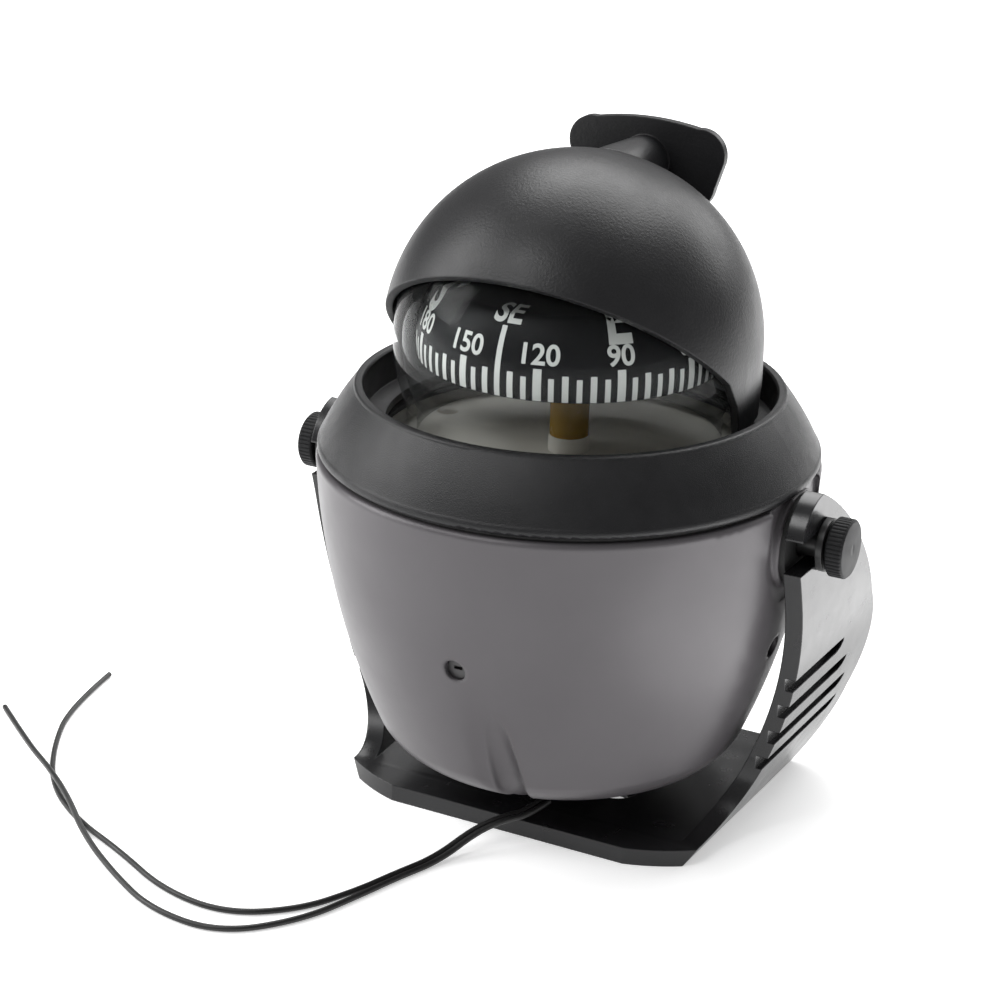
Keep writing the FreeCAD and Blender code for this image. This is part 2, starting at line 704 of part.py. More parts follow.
keep("diaphragm", turned("diaphragm_body", [
    (3.0, 59.2), (11.0, 59.2), (14.0, 57.6, 12.6, 57.7), (17.0, 59.4, 15.4, 57.8),
    (DIAPHRAGM, 59.4), (DIAPHRAGM, 61.2), (17.6, 61.2), (17.0, 60.2),
    (14.0, 58.6, 15.6, 58.9), (11.0, 60.2, 12.4, 58.9), (3.0, 60.2)]))
keep("diaphragm_ring", turned("diaphragm_ring_body", [
    (17.0, 57.8), (22.0, 57.8), (22.0, 61.2), (20.3, 61.2), (20.3, 59.2), (17.0, 59.2)]))

# The lamp stands in a socket that a stalk from the shelf plate carries.
keep("lamp", fused("lamp_parts",
                   cylinder("lamp_tube", 2.4, 4.2, V(0, LAMP_Y, 58.0)),
                   cylinder("lamp_rim", 2.9, 1.0, V(0, LAMP_Y, 57.0))))

# ---------------------------------------------------------------- compensator

PLATE_TOP = SHELF_TOP + 1.6
plate = turned("plate_body", [(7.0, SHELF_TOP), (33.4, SHELF_TOP), (33.4, PLATE_TOP),
                              (7.0, PLATE_TOP)])
bearing_blocks = [
    box("bearing_front_outer", (-3, -20, PLATE_TOP), (3, -17, FRONT_PLUG + 2.8)),
    box("bearing_front_inner", (-3, -10, PLATE_TOP), (3, -8, FRONT_PLUG + 2.8)),
    box("bearing_side_outer", (17, -3, PLATE_TOP), (20, 3, SIDE_PLUG + 2.8)),
    box("bearing_side_inner", (8, -3, PLATE_TOP), (10, 3, SIDE_PLUG + 2.8)),
]
stalk = cylinder("lamp_stalk", 3.4, 54.8 - SHELF_TOP, V(0, LAMP_Y, SHELF_TOP))
ROD = 1.1
rod_bores = [
    cylinder("front_rod_bore", ROD + size("running_gap"), 20, V(0, -5, FRONT_PLUG), FRONT),
    cylinder("side_rod_bore", ROD + size("running_gap"), 20, V(5, 0, SIDE_PLUG), RIGHT),
]
keep("compensator_frame", cut("frame_cut", fused("frame_parts", plate, *bearing_blocks, stalk),
                              fused("rod_bores", *rod_bores)))
keep("lamp_socket", turned("socket_body", [(0, 54.8), (3.4, 54.8), (3.4, 57.0), (0, 57.0)]))
SUBPARTS["lamp_socket"].Placement.Base = V(0, LAMP_Y, 0)


def adjuster(side, way, height, face):
    """A slotted head flush in the bowl, its rod, and the magnet the rod carries."""
    start = way * (face - 0.7) + V(0, 0, height)
    head = cylinder(f"head_{side}", cell("plug_radius"), 4.0, start, way * -1)
    rod = cylinder(f"rod_{side}", ROD, face - 0.7 - 7.0, start, way * -1)
    across = way.cross(V(0, 0, 1))
    slit = doc.addObject("Part::Feature", f"slit_{side}")
    half = across * 0.75
    rise = V(0, 0, 0.25)
    corner = start - way * 0.9
    edges = [corner - half - rise, corner + half - rise, corner + half + rise,
             corner - half + rise]
    slit.Shape = Part.Face(Part.makePolygon(edges + edges[:1])).extrude(way * 3)
    keep(f"compensator_{side}", cut(f"adjuster_{side}", fused(f"adjuster_{side}_parts", head, rod),
                                    slit))
    magnet = cut(f"magnet_{side}_ring", cylinder(f"magnet_{side}_body", 1.9, 5.0,
                                                 way * 11.0 + V(0, 0, height), way),
                 cylinder(f"magnet_{side}_bore", ROD, 7.0, way * 10.0 + V(0, 0, height), way))
    keep(f"compensator_magnet_{side}", magnet)


adjuster("front", FRONT, FRONT_PLUG, 38.5)
adjuster("side", RIGHT, SIDE_PLUG, 37.8)

# ---------------------------------------------------------------- pivots, knobs and screws

SCREW = size("screw_radius")
EAR_FACE = size("arm_out") + size("rear_splay") * -SECTION_FRONT / (SECTION_REAR - SECTION_FRONT)
EAR_INNER = EAR_FACE - size("arm_thick")
insert = cut("insert_whole", cylinder("insert_body", 3.6, 9.0, V(32.4, 0, AXIS), RIGHT),
             cylinder("insert_hole", cell("screw_radius", 0.05), 12.0, V(33.4, 0, AXIS), RIGHT))
keep("pivot_inserts", both_sides("insert_pair", insert))
washer = cut("friction_whole", cylinder("friction_body", 7.6, 0.9, V(BOSS_FACE, 0, AXIS), RIGHT),
             cylinder("friction_hole", cell("screw_radius", 0.3), 3, V(40, 0, AXIS), RIGHT))
keep("friction_washers", both_sides("friction_pair", washer))

KNOB_START = EAR_FACE + 1.5
KNOB_END = size("knob_end")
KNOB = size("knob_radius")
CAP_RISE = 0.15
RIDGES = 44


def knob_head():
    """A thumb knob: a neck, a knurled grip and a slightly domed cap."""
    body = doc.addObject("PartDesign::Body", "knob_head_body")
    profile = [
        (KNOB_START, SCREW), (KNOB_START, 3.3), (KNOB_START + 0.5, 3.3),
        (KNOB_START + 0.5, KNOB - 0.35), (KNOB_START + 0.8, cell("knob_radius")),
        (KNOB_END - 0.45, cell("knob_radius")), (KNOB_END - 0.1, KNOB - 0.35),
        (KNOB_END + CAP_RISE, 0, *reversed(crown(KNOB - 0.35, KNOB_END - 0.1, KNOB_END + CAP_RISE))),
        (KNOB_END - 1.4, 0), (KNOB_END - 1.4, SCREW)]
    sketch = draw(new_sketch(body, "knob_profile", "XZ_Plane"), profile)
    turned_knob = body.newObject("PartDesign::Revolution", "knob_turned")
    turned_knob.Profile = sketch
    turned_knob.ReferenceAxis = (sketch, ["H_Axis"])
    doc.recompute()
    notch_sketch = draw(new_sketch(body, "knurl_profile", "YZ_Plane"), [
        (-0.24, cell("knob_radius", 0.1)), (0, cell("knob_radius", -0.24)),
        (0.24, cell("knob_radius", 0.1))])
    notch = body.newObject("PartDesign::Pocket", "knurl_notch")
    notch.Profile = notch_sketch
    notch.Type = 1
    notch.Midplane = True
    doc.recompute()
    pattern = body.newObject("PartDesign::PolarPattern", "knurl")
    pattern.Originals = [notch]
    pattern.Axis = (origin_axis(body, "X_Axis"), [""])
    pattern.Angle = 360
    pattern.Occurrences = RIDGES
    body.Tip = pattern
    doc.recompute()
    return body


def placed_copy(name, source, base):
    """The source's shape, moved; it stays linked to its source."""
    obj = doc.addObject("Part::Compound", name)
    obj.Links = [source]
    obj.Placement.Base = base
    return obj


knob_right = placed_copy("knob_right_placed", knob_head(), V(0, 0, AXIS))
keep("knob_right", knob_right)
keep("knob_left", mirrored("knob_left_mirror", knob_right))
SCREW_END = 35.6
screw = cylinder("screw_right", cell("screw_radius"), KNOB_END - 1.4 - SCREW_END,
                 V(SCREW_END, 0, AXIS), RIGHT)
keep("knob_screw_right", screw)
keep("knob_screw_left", mirrored("screw_left", screw))
WASHER_START = EAR_FACE + 0.3
steel = cut("washer_whole", cylinder("washer_body", 4.4, 1.1, V(WASHER_START, 0, AXIS), RIGHT),
            cylinder("washer_hole", cell("screw_radius", 0.02), 4, V(WASHER_START - 1, 0, AXIS),
                     RIGHT))
keep("knob_washer_right", steel)
keep("knob_washer_left", mirrored("washer_left", steel))


def housing_screw(angle):
    """A pan-head screw, up through the bowl's lug into the bezel."""
    shank = cylinder(f"shank_{angle}", 1.2, 15.0, around(LUG_CIRCLE, angle, LUG_BOTTOM))
    head = cylinder(f"screw_head_{angle}", 2.1, 1.6, around(LUG_CIRCLE, angle, LUG_BOTTOM - 1.6))
    return fused(f"housing_screw_{angle}", shank, head)


gasket_bores = [cylinder(f"gasket_bore_{a}", 1.45, 3, around(LUG_CIRCLE, a, 62)) for a in LUG_ANGLES]
keep("rim_gasket", cut("gasket_cut", SUBPARTS["rim_gasket"], fused("gasket_bores", *gasket_bores)))
keep("housing_screws", grouped("housing_screw_set", [housing_screw(a) for a in LUG_ANGLES]))

# ---------------------------------------------------------------- wires
# Two thin, limp wires that leave the grommet side by side, cross the tray's front edge and lie
# on the surface that the bracket stands on.

WIRE = size("wire_radius")
EXIT_RADIUS = BOTTOM + 0.45
ON_FLOOR = WIRE + 0.05
PAIR = 0.75


def exit_point(side):
    return centre + exit_way * EXIT_RADIUS + V(side * PAIR, 0, 0)


WIRE_ROUTES = {
    "wire_a": [exit_point(-1), V(4.0, -20.9, 5.0), V(1.1, -24.2, 4.8), V(-2.2, -28.1, 3.4),
               V(-5.5, -35.0, ON_FLOOR), V(-8.8, -43.3, ON_FLOOR), V(-11.2, -50.3, ON_FLOOR),
               V(-16.2, -60.0, ON_FLOOR), V(-26.0, -67.0, ON_FLOOR), V(-39.0, -65.6, ON_FLOOR),
               V(-52.0, -59.0, ON_FLOOR), V(-65.0, -53.8, ON_FLOOR), V(-76.0, -46.0, ON_FLOOR),
               V(-84.5, -34.5, ON_FLOOR), V(-91.5, -20.5, ON_FLOOR), V(-93.7, -5.1, ON_FLOOR)],
    "wire_b": [exit_point(1), V(5.2, -21.5, 5.0), V(2.1, -25.0, 4.8), V(-1.1, -28.7, 3.4),
               V(-4.3, -35.6, ON_FLOOR), V(-7.6, -43.7, ON_FLOOR), V(-10.0, -51.2, ON_FLOOR),
               V(-14.2, -62.5, ON_FLOOR), V(-23.5, -72.3, ON_FLOOR), V(-37.0, -71.6, ON_FLOOR),
               V(-49.0, -65.2, ON_FLOOR), V(-60.0, -58.2, 1.1), V(-68.5, -51.0, 2.4),
               V(-78.0, -44.0, 2.4), V(-88.5, -36.4, 0.9), V(-102.2, -26.0, ON_FLOOR)],
}


def wire_path(points):
    """Straight runs joined by tangent arcs, each as large as its two runs allow."""
    edges = []
    radii = []
    last = points[0]
    for before, corner, after in zip(points, points[1:], points[2:]):
        inward = (corner - before).normalize()
        outward = (after - corner).normalize()
        half_turn = inward.getAngle(outward) / 2
        reach = 0.45 * min((corner - before).Length, (after - corner).Length)
        radii.append(reach / math.tan(half_turn))
        start = corner - inward * reach
        end = corner + outward * reach
        bisector = (outward - inward).normalize()
        hub = corner + bisector * (radii[-1] / math.cos(half_turn))
        middle = hub - bisector * radii[-1]
        edges.append(Part.LineSegment(last, start).toShape())
        edges.append(Part.Arc(start, middle, end).toShape())
        last = end
    edges.append(Part.LineSegment(last, points[-1]).toShape())
    return Part.Wire(edges), radii


def wire_tube(name, points):
    path, radii = wire_path(points)
    way = (points[1] - points[0]).normalize()
    ring = Part.Wire([Part.makeCircle(WIRE, points[0], way)])
    tube = doc.addObject("Part::Feature", name + "_tube")
    tube.Shape = path.makePipeShell([ring], True, False)
    expected = math.pi * WIRE ** 2 * path.Length
    print(name, "length", round(path.Length, 1), "volume ratio",
          round(tube.Shape.Volume / expected, 3), "radii", [round(r, 1) for r in radii])
    return keep(name, tube)


for node, route in WIRE_ROUTES.items():
    wire_tube(node, route)

# ---------------------------------------------------------------- check and write

doc.recompute()
failed = [obj.Name for obj in doc.Objects if "Invalid" in obj.State or "Error" in obj.State]
if failed:
    raise RuntimeError(f"not computed: {failed}")
for node, obj in SUBPARTS.items():
    shape = obj.Shape
    if shape.isNull() or not shape.isValid() or not shape.Solids:
        raise RuntimeError(f"{node} has no valid solid")
    print(node, len(shape.Solids), round(shape.Volume, 1))

os.makedirs("parts", exist_ok=True)
for node, obj in SUBPARTS.items():
    obj.Shape.exportStep(f"parts/{node}.step")
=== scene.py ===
import json
import math

import bmesh
import bpy
import numpy as np
from mathutils import Matrix, Vector


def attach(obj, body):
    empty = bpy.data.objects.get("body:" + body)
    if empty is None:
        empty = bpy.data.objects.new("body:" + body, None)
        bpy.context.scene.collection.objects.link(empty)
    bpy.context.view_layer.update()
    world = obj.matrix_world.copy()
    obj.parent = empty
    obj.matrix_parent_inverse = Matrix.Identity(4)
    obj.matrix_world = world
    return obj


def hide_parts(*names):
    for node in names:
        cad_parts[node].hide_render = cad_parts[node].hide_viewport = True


# Looks of the binnacle compass. Sizes are in mm, and mm() turns them into the metres of the
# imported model's frame. The tilt axis runs along X above the origin; the card is read from -Y.
# Lights and textures are in metres.

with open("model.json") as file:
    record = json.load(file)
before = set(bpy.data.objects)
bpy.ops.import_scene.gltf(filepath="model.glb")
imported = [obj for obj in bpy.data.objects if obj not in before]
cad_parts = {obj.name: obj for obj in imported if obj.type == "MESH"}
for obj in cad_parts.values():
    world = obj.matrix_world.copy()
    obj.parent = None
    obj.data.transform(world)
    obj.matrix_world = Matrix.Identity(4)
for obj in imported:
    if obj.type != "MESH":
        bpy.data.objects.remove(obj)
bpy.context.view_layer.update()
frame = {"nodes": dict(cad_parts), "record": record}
NODES = frame["nodes"]
MM = 0.001
scene = bpy.context.scene

AXIS = 55.1      # height of the housing's tilt axis
GLOBE = 82.0     # height of the globe's centre
LUBBER = 134.1   # the card's reading at -Y, in degrees


def mm(x, y, z):
    return Vector((x, y, z)) * MM


# ---------------------------------------------------------------- camera

camera = bpy.data.cameras.new("camera")
camera.lens = 88.80
camera.sensor_width = 36.0
camera.clip_start = 0.02
camera.clip_end = 20.0
camera_object = bpy.data.objects.new("camera", camera)
scene.collection.objects.link(camera_object)
CAMERA_PLACE = (169.185, -348.718, 207.066)
RIGHT = Vector((0.88348, 0.46818, 0.01657))
UP = Vector((-0.18651, 0.31906, 0.92920))
FORWARD = Vector((-0.42975, 0.82402, -0.36920))
turn = Matrix((RIGHT, UP, -FORWARD)).transposed().to_4x4()
camera_object.matrix_world = Matrix.Translation(mm(*CAMERA_PLACE)) @ turn
scene.camera = camera_object

# ---------------------------------------------------------------- materials


class Nodes:
    """A material's node tree, with short calls for the nodes used here."""

    def __init__(self, name):
        self.material = bpy.data.materials.new(name)
        self.material.use_nodes = True
        self.tree = self.material.node_tree
        self.shader = self.tree.nodes["Principled BSDF"]
        self.output = self.tree.nodes["Material Output"]
        self.where = self.add("ShaderNodeTexCoord").outputs["Object"]

    def add(self, kind, **settings):
        node = self.tree.nodes.new(kind)
        for key, value in settings.items():
            setattr(node, key, value)
        return node

    def link(self, source, target):
        self.tree.links.new(source, target)

    def noise(self, scale, detail=3.0, roughness=0.55):
        node = self.add("ShaderNodeTexNoise")
        node.inputs["Scale"].default_value = scale
        node.inputs["Detail"].default_value = detail
        node.inputs["Roughness"].default_value = roughness
        self.link(self.where, node.inputs["Vector"])
        return node.outputs["Fac"]

    def spread(self, source, low, high, out_low, out_high):
        node = self.add("ShaderNodeMapRange")
        for key, value in (("From Min", low), ("From Max", high),
                           ("To Min", out_low), ("To Max", out_high)):
            node.inputs[key].default_value = value
        self.link(source, node.inputs["Value"])
        return node.outputs["Result"]

    def two_colours(self, fac, dark, light):
        node = self.add("ShaderNodeMix", data_type="RGBA")
        self.link(fac, node.inputs["Factor"])
        node.inputs["A"].default_value = (*dark, 1)
        node.inputs["B"].default_value = (*light, 1)
        return node.outputs["Result"]

    def soft_edges(self, radius):
        """Rounds the light on hard edges, as a moulding's small radii do."""
        node = self.add("ShaderNodeBevel", samples=6)
        node.inputs["Radius"].default_value = radius
        return node.outputs["Normal"]

    def bump(self, height, strength, distance, under=None):
        node = self.add("ShaderNodeBump")
        node.inputs["Strength"].default_value = strength
        node.inputs["Distance"].default_value = distance
        self.link(height, node.inputs["Height"])
        if under is not None:
            self.link(under, node.inputs["Normal"])
        return node.outputs["Normal"]


def moulded(name, dark, light, rough=(0.4, 0.5), grain=1800.0, depth=0.00004, strength=0.5,
            metal=0.0, specular=0.5, waves=90.0, wave_depth=0.00006, edge=0.0):
    """Moulded plastic or plain metal: a fine grain over faint flow waves, and uneven gloss."""
    n = Nodes(name)
    blotch = n.noise(waves, 4.0)
    n.link(n.two_colours(n.spread(blotch, 0.3, 0.7, 0, 1), dark, light),
           n.shader.inputs["Base Color"])
    n.link(n.spread(n.noise(waves * 2.7, 3.0), 0.3, 0.7, *rough), n.shader.inputs["Roughness"])
    n.shader.inputs["Metallic"].default_value = metal
    n.shader.inputs["Specular IOR Level"].default_value = specular
    rounded = n.soft_edges(edge) if edge else None
    waves_normal = n.bump(blotch, 0.25, wave_depth, rounded)
    n.link(n.bump(n.noise(grain, 2.0, 0.6), strength, depth, waves_normal),
           n.shader.inputs["Normal"])
    return n


GLOSS_POWER = 4.0   # how late a clear wall's mirror comes in towards its edges


def clear(name, tint, reach=1.0, floor=0.0):
    """Clear plastic or glass: see-through, with a mirror that grows towards its edges."""
    n = Nodes(name)
    n.shader.inputs["Base Color"].default_value = (0.04, 0.04, 0.04, 1)
    n.shader.inputs["Specular IOR Level"].default_value = 1.0
    n.link(n.spread(n.noise(140.0), 0.3, 0.7, 0.01, 0.03), n.shader.inputs["Roughness"])
    n.link(n.bump(n.noise(60.0, 2.0), 0.05, 0.0001), n.shader.inputs["Normal"])
    see = n.add("ShaderNodeBsdfTransparent")
    see.inputs["Color"].default_value = (*tint, 1)
    edge = n.add("ShaderNodeLayerWeight")
    edge.inputs["Blend"].default_value = 0.5
    steep = n.add("ShaderNodeMath", operation="POWER")
    n.link(edge.outputs["Facing"], steep.inputs[0])
    steep.inputs[1].default_value = GLOSS_POWER
    amount = n.spread(steep.outputs["Value"], 0.0, 1.0, floor, reach)
    mix = n.add("ShaderNodeMixShader")
    n.link(amount, mix.inputs["Fac"])
    n.link(see.outputs["BSDF"], mix.inputs[1])
    n.link(n.shader.outputs["BSDF"], mix.inputs[2])
    n.link(mix.outputs["Shader"], n.output.inputs["Surface"])
    return n


MATERIALS = {
    "black_moulding": moulded("bracket plastic", (0.010, 0.010, 0.011), (0.014, 0.014, 0.015),
                              (0.22, 0.28), 1500.0, 0.00001, 0.2, edge=0.0003),
    "textured_black": moulded("bezel plastic", (0.007, 0.007, 0.008), (0.010, 0.010, 0.011),
                              (0.34, 0.44), 5200.0, 0.00006, 1.0, specular=0.36, edge=0.0003),
    "gunmetal": moulded("housing paint", (0.082, 0.076, 0.082), (0.092, 0.086, 0.092),
                        (0.34, 0.40), 3200.0, 0.000012, 0.35, metal=0.25, waves=40.0,
                        wave_depth=0.00003, edge=0.0010),
    "hood_black": moulded("hood plastic", (0.009, 0.009, 0.010), (0.013, 0.013, 0.014),
                          (0.36, 0.42), 2200.0, 0.00006, 0.8, specular=0.34, edge=0.0004),
    "card_print": moulded("card", (0.003, 0.003, 0.004), (0.004, 0.004, 0.005), (0.4, 0.5),
                          strength=0.05, waves=20.0, wave_depth=0.00001, specular=0.15),
    "off_white": moulded("cream plastic", (0.76, 0.73, 0.67), (0.84, 0.81, 0.75), (0.35, 0.45)),
    "rubber": moulded("rubber", (0.010, 0.010, 0.010), (0.016, 0.016, 0.016), (0.55, 0.7)),
    "brass": moulded("brass", (0.50, 0.34, 0.13), (0.62, 0.45, 0.19), (0.25, 0.38), metal=1.0),
    "steel": moulded("steel", (0.42, 0.42, 0.42), (0.55, 0.55, 0.55), (0.22, 0.34), metal=1.0),
    "plug_grey": moulded("plug plastic", (0.050, 0.048, 0.050), (0.062, 0.060, 0.062),
                         (0.35, 0.45), 2400.0, 0.00002, 0.4, edge=0.0002),
    "black_steel": moulded("black coated steel", (0.012, 0.012, 0.012), (0.020, 0.020, 0.020),
                           (0.28, 0.38), 1800.0, 0.00002, 0.4, edge=0.0002),
    "magnet": moulded("magnet plating", (0.22, 0.23, 0.25), (0.3, 0.31, 0.33), (0.3, 0.4),
                      metal=1.0),
    "sapphire": moulded("jewel", (0.4, 0.03, 0.06), (0.5, 0.05, 0.09), (0.05, 0.1)),
    "red_lamp": moulded("lamp", (0.30, 0.02, 0.015), (0.36, 0.03, 0.02), (0.1, 0.2)),
    "wire_black": moulded("wire sleeve", (0.008, 0.008, 0.008), (0.013, 0.013, 0.013),
                          (0.35, 0.5), 2500.0, 0.00002, 0.3),
    "amber": moulded("amber post", (0.24, 0.130, 0.004), (0.36, 0.205, 0.010), (0.18, 0.28)),
    "clear": clear("globe", (0.97, 0.98, 0.98), reach=0.8, floor=0.06),
}


def finish(obj, slot_name):
    obj.data.materials.clear()
    obj.data.materials.append(MATERIALS[slot_name].material)
    return obj


for entry in frame["record"]["subparts"]:
    finish(NODES[entry["node"]], entry["material_slot"])

KNOB = moulded("knob plastic", (0.010, 0.010, 0.011), (0.014, 0.014, 0.015), (0.5, 0.6),
               1500.0, 0.00001, 0.2, specular=0.22, edge=0.0003)
for node in ("knob_right", "knob_left"):
    NODES[node].data.materials.clear()
    NODES[node].data.materials.append(KNOB.material)

# ---------------------------------------------------------------- mesh helpers


def shown(name, data, slot_name, body, *nodes):
    """A new piece that rides on a body and stands for the CAD nodes named."""
    obj = bpy.data.objects.new(name, data)
    scene.collection.objects.link(obj)
    finish(obj, slot_name)
    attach(obj, body)
    if nodes:
        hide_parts(*nodes)
    return obj


def smooth(obj, degrees=32.0):
    """Smooth shading, with edges sharper than this left sharp."""
    limit = math.radians(degrees)
    mesh = bmesh.new()
    mesh.from_mesh(obj.data)
    for face in mesh.faces:
        face.smooth = True
    for edge in mesh.edges:
        flat = len(edge.link_faces) == 2 and edge.calc_face_angle(0) < limit
        edge.smooth = flat
    mesh.to_mesh(obj.data)
    mesh.free()
    return obj


def mesh_of(name, points, faces):
    data = bpy.data.meshes.new(name)
    data.from_pydata([tuple(p) for p in points], [], faces)
    data.validate()
    data.update()
    return data


def lathe(name, profile, steps=192, closed=True):
    """A turned form about the vertical axis; profile points are (radius, height) in mm."""
    points = []
    faces = []
    count = len(profile)
    for step in range(steps):
        angle = 2 * math.pi * step / steps
        for radius, height in profile:
            points.append(mm(radius * math.cos(angle), radius * math.sin(angle), height))
    for step in range(steps):
        after = (step + 1) % steps
        for i in range(count if closed else count - 1):
            j = (i + 1) % count
            faces.append((step * count + i, after * count + i,
                          after * count + j, step * count + j))
    data = mesh_of(name, points, faces)
    tidy = bmesh.new()
    tidy.from_mesh(data)
    bmesh.ops.remove_doubles(tidy, verts=tidy.verts, dist=1e-7)
    bmesh.ops.recalc_face_normals(tidy, faces=tidy.faces)
    tidy.to_mesh(data)
    tidy.free()
    return data


def arc(centre_r, centre_z, radius, start, end, steps=8):
    """Profile points of an arc; angles in degrees, 0 outwards and 90 upwards."""
    return [(centre_r + radius * math.cos(math.radians(start + (end - start) * i / steps)),
             centre_z + radius * math.sin(math.radians(start + (end - start) * i / steps)))
            for i in range(steps + 1)]


for node in ("bracket", "bowl", "knob_right", "knob_left"):
    smooth(NODES[node])

# ---------------------------------------------------------------- wires

WIRE_RADIUS = 0.5
CHANNEL_X = 6.2
EXIT_ANGLE = math.radians(20.0)
EXIT_RADIUS = 51.95
EXIT_Y = -math.sin(EXIT_ANGLE) * EXIT_RADIUS
EXIT_Z = AXIS - math.cos(EXIT_ANGLE) * EXIT_RADIUS
ON_FLOOR = WIRE_RADIUS + 0.05
PAIR = 0.75
WIRE_ROUTES = {
    "wire_a": [(CHANNEL_X - PAIR, EXIT_Y, EXIT_Z), (4.0, -20.9, 5.0), (1.1, -24.2, 4.8),
               (-2.2, -28.1, 3.4), (-5.5, -35.0, ON_FLOOR), (-8.8, -43.3, ON_FLOOR),
               (-11.2, -50.3, ON_FLOOR), (-16.2, -60.0, ON_FLOOR), (-26.0, -67.0, ON_FLOOR),
               (-39.0, -65.6, ON_FLOOR), (-52.0, -59.0, ON_FLOOR), (-65.0, -53.8, ON_FLOOR),
               (-76.0, -46.0, ON_FLOOR), (-84.5, -34.5, ON_FLOOR), (-91.5, -20.5, ON_FLOOR),
               (-93.7, -5.1, ON_FLOOR)],
    "wire_b": [(CHANNEL_X + PAIR, EXIT_Y, EXIT_Z), (5.2, -21.5, 5.0), (2.1, -25.0, 4.8),
               (-1.1, -28.7, 3.4), (-4.3, -35.6, ON_FLOOR), (-7.6, -43.7, ON_FLOOR),
               (-10.0, -51.2, ON_FLOOR), (-14.2, -62.5, ON_FLOOR), (-23.5, -72.3, ON_FLOOR),
               (-37.0, -71.6, ON_FLOOR), (-49.0, -65.2, ON_FLOOR), (-60.0, -58.2, 1.1),
               (-68.5, -51.0, 2.4), (-78.0, -44.0, 2.4), (-88.5, -36.4, 0.9),
               (-102.2, -26.0, ON_FLOOR)],
}


def wire(node):
    curve = bpy.data.curves.new(node + "_sleeve", "CURVE")
    curve.dimensions = "3D"
    curve.bevel_depth = WIRE_RADIUS * MM
    curve.bevel_resolution = 4
    curve.use_fill_caps = True
    curve.resolution_u = 16
    route = WIRE_ROUTES[node]
    spline = curve.splines.new("NURBS")
    spline.points.add(len(route) - 1)
    for point, place in zip(spline.points, route):
        point.co = (*mm(*place), 1.0)
    spline.order_u = 3
    spline.use_endpoint_u = True
    obj = shown(node + "_sleeve", curve, "wire_black", "bracket", node)
    return obj


for node in WIRE_ROUTES:
    wire(node)

# ---------------------------------------------------------------- globe

R_OUT = 29.4
R_IN = 27.9
NECK = 70.6
FOOT_R = 33.6
FOOT_LOW = 65.0
FOOT_TOP = 67.0
FOOT_CURVE = [(1.2, FOOT_TOP), (0.35, 67.5), (-0.1, 68.6)]   # steps out from the neck, heights
GLOBE_STEPS = 64


def section_radius(radius, height):
    """Radius of the circle in which a height cuts a ball round the globe's centre."""
    return math.sqrt(radius ** 2 - (height - GLOBE) ** 2)


low = math.degrees(math.asin((NECK - GLOBE) / R_OUT))
low_in = math.degrees(math.asin((NECK - GLOBE) / R_IN))
neck_out = section_radius(R_OUT, NECK)
globe_profile = ([(section_radius(R_IN, NECK), FOOT_LOW), (FOOT_R, FOOT_LOW), (FOOT_R, FOOT_TOP)]
                 + [(neck_out + step, height) for step, height in FOOT_CURVE]
                 + arc(0, GLOBE, R_OUT, low, 90, GLOBE_STEPS)
                 + arc(0, GLOBE, R_IN, 90, low_in, GLOBE_STEPS))
globe = shown("globe_clear", lathe("globe_clear", globe_profile), "clear", "housing", "dome")
smooth(globe, 40)

# ---------------------------------------------------------------- floor of the globe

FLOOR_TOP = 62.8
FLOOR_UNDER = 61.2
FLOOR_BORE = 1.3
RIM_OUT = 33.6
RIM_IN = 32.6
RIM_LOW = 60.2
RIM_TOP = 64.2
BEVEL = [(31.4, RIM_TOP), (30.4, FLOOR_TOP)]
floor_profile = ([(FLOOR_BORE, FLOOR_UNDER), (RIM_IN, FLOOR_UNDER), (RIM_IN, RIM_LOW),
                  (RIM_OUT, RIM_LOW), (RIM_OUT, RIM_TOP)]
                 + BEVEL + [(FLOOR_BORE, FLOOR_TOP)])
diffuser = shown("globe_floor", lathe("globe_floor", floor_profile), "off_white", "housing",
                 "light_floor")
smooth(diffuser, 30)

# ---------------------------------------------------------------- printed card

CARD_R = 25.3
CARD_LOW = 79.6
BEND_R, BEND_Z = 21.6, 92.2
CARD_TOP = 94.4
SIDE_MIDDLE = (24.9, 86.4)


def circle_through(a, b, c):
    """Centre and radius of the circle through three profile points."""
    m = np.array([[b[0] - a[0], b[1] - a[1]], [c[0] - a[0], c[1] - a[1]]]) * 2
    v = np.array([b[0] ** 2 - a[0] ** 2 + b[1] ** 2 - a[1] ** 2,
                  c[0] ** 2 - a[0] ** 2 + c[1] ** 2 - a[1] ** 2])
    x, y = np.linalg.solve(m, v)
    return x, y, math.hypot(a[0] - x, a[1] - y)


SIDE = circle_through((CARD_R, CARD_LOW), SIDE_MIDDLE, (BEND_R, BEND_Z))
SIDE_START = math.degrees(math.atan2(CARD_LOW - SIDE[1], CARD_R - SIDE[0]))
SIDE_END = math.degrees(math.atan2(BEND_Z - SIDE[1], BEND_R - SIDE[0]))
side_arc = arc(SIDE[0], SIDE[1], SIDE[2], SIDE_START, SIDE_END, 24)
rise = CARD_TOP - BEND_Z
CROWN = (BEND_R ** 2 + rise ** 2) / (2 * rise)
crown_start = math.degrees(math.acos(BEND_R / CROWN))
crown_arc = arc(0, CARD_TOP - CROWN, CROWN, crown_start, 90, 16)
outer = side_arc + crown_arc[1:]
RADII = [radius for radius, height in outer]
HEIGHTS = [height for radius, height in outer]
LENGTHS = [0.0]
for first, second in zip(outer, outer[1:]):
    LENGTHS.append(LENGTHS[-1] + math.dist(first, second))

PROUD = 0.10   # how far the print stands off the card
NEAR = 0.2     # how far each way the card's slope is read


